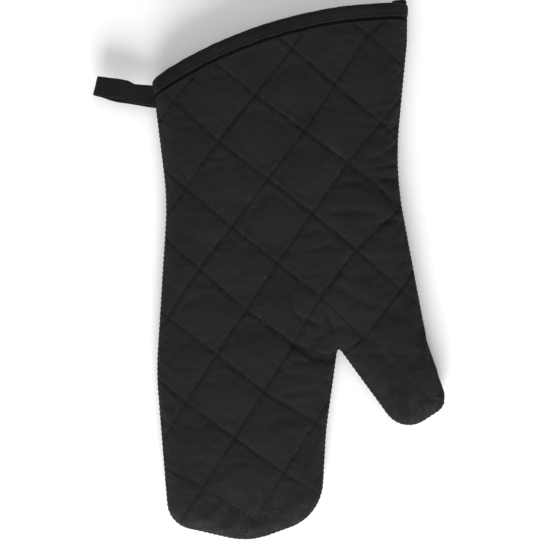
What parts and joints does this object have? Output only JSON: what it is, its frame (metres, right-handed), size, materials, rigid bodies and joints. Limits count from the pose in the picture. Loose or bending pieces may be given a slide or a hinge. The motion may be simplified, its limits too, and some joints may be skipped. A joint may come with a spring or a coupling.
{
  "type": "oven mitt",
  "caption": "Quilted cotton oven mitt with a bound, slanted cuff and a hanging loop, lying flat; its fingers and thumb bend towards the palm and the loop folds at the side seam.",
  "frame": {"origin": "centre of the bounding box's bottom, hanging loop included, on the surface that the mitt lies on", "axes": "+Z out of the palm side, +Y towards the cuff, +X towards the thumb"},
  "size_m": [0.2091, 0.3195, 0.026],
  "materials": {
    "shell_cloth": "matte charcoal cotton twill, quilted",
    "lining_cloth": "matte dark grey plain-weave cotton",
    "wadding": "off-white cotton and polyester felt",
    "binding_tape": "matte near-black bias tape",
    "thread": "charcoal sewing thread, slight sheen"
  },
  "bodies": {
    "hand": {"back_lining_hand": "lining_cloth", "back_quilting_thread_hand": "thread", "back_shell_hand": "shell_cloth", "back_wadding_hand": "wadding", "binding_thread": "thread", "cuff_binding": "binding_tape", "hanging_loop_ends": "binding_tape", "palm_lining_hand": "lining_cloth", "palm_quilting_thread_hand": "thread", "palm_shell_hand": "shell_cloth", "palm_wadding_hand": "wadding", "side_seam_thread_hand": "thread"},
    "fingers": {"back_lining_fingers": "lining_cloth", "back_quilting_thread_fingers": "thread", "back_shell_fingers": "shell_cloth", "back_wadding_fingers": "wadding", "palm_lining_fingers": "lining_cloth", "palm_quilting_thread_fingers": "thread", "palm_shell_fingers": "shell_cloth", "palm_wadding_fingers": "wadding", "side_seam_thread_fingers": "thread"},
    "thumb": {"back_lining_thumb": "lining_cloth", "back_quilting_thread_thumb": "thread", "back_shell_thumb": "shell_cloth", "back_wadding_thumb": "wadding", "palm_lining_thumb": "lining_cloth", "palm_quilting_thread_thumb": "thread", "palm_shell_thumb": "shell_cloth", "palm_wadding_thumb": "wadding", "side_seam_thread_thumb": "thread"},
    "loop": {"hanging_loop": "binding_tape"}
  },
  "joints": [
    {"name": "finger_flex", "type": "hinge", "parent": "hand", "child": "fingers", "pos_m": [-0.015, -0.079, 0.016], "axis": [-1, 0, 0], "range_deg": [0, 70], "stiffness_Nm_per_rad": 0.12},
    {"name": "thumb_flex", "type": "hinge", "parent": "hand", "child": "thumb", "pos_m": [0.051, -0.0683, 0.016], "axis": [-0.8942, -0.4478, 0], "range_deg": [0, 55], "stiffness_Nm_per_rad": 0.06},
    {"name": "loop_fold", "type": "hinge", "parent": "hand", "child": "loop", "pos_m": [-0.07058, 0.10275, 0.013], "axis": [-0.123, 0.9924, 0], "range_deg": [-15, 85], "stiffness_Nm_per_rad": 0.01}
  ]
}
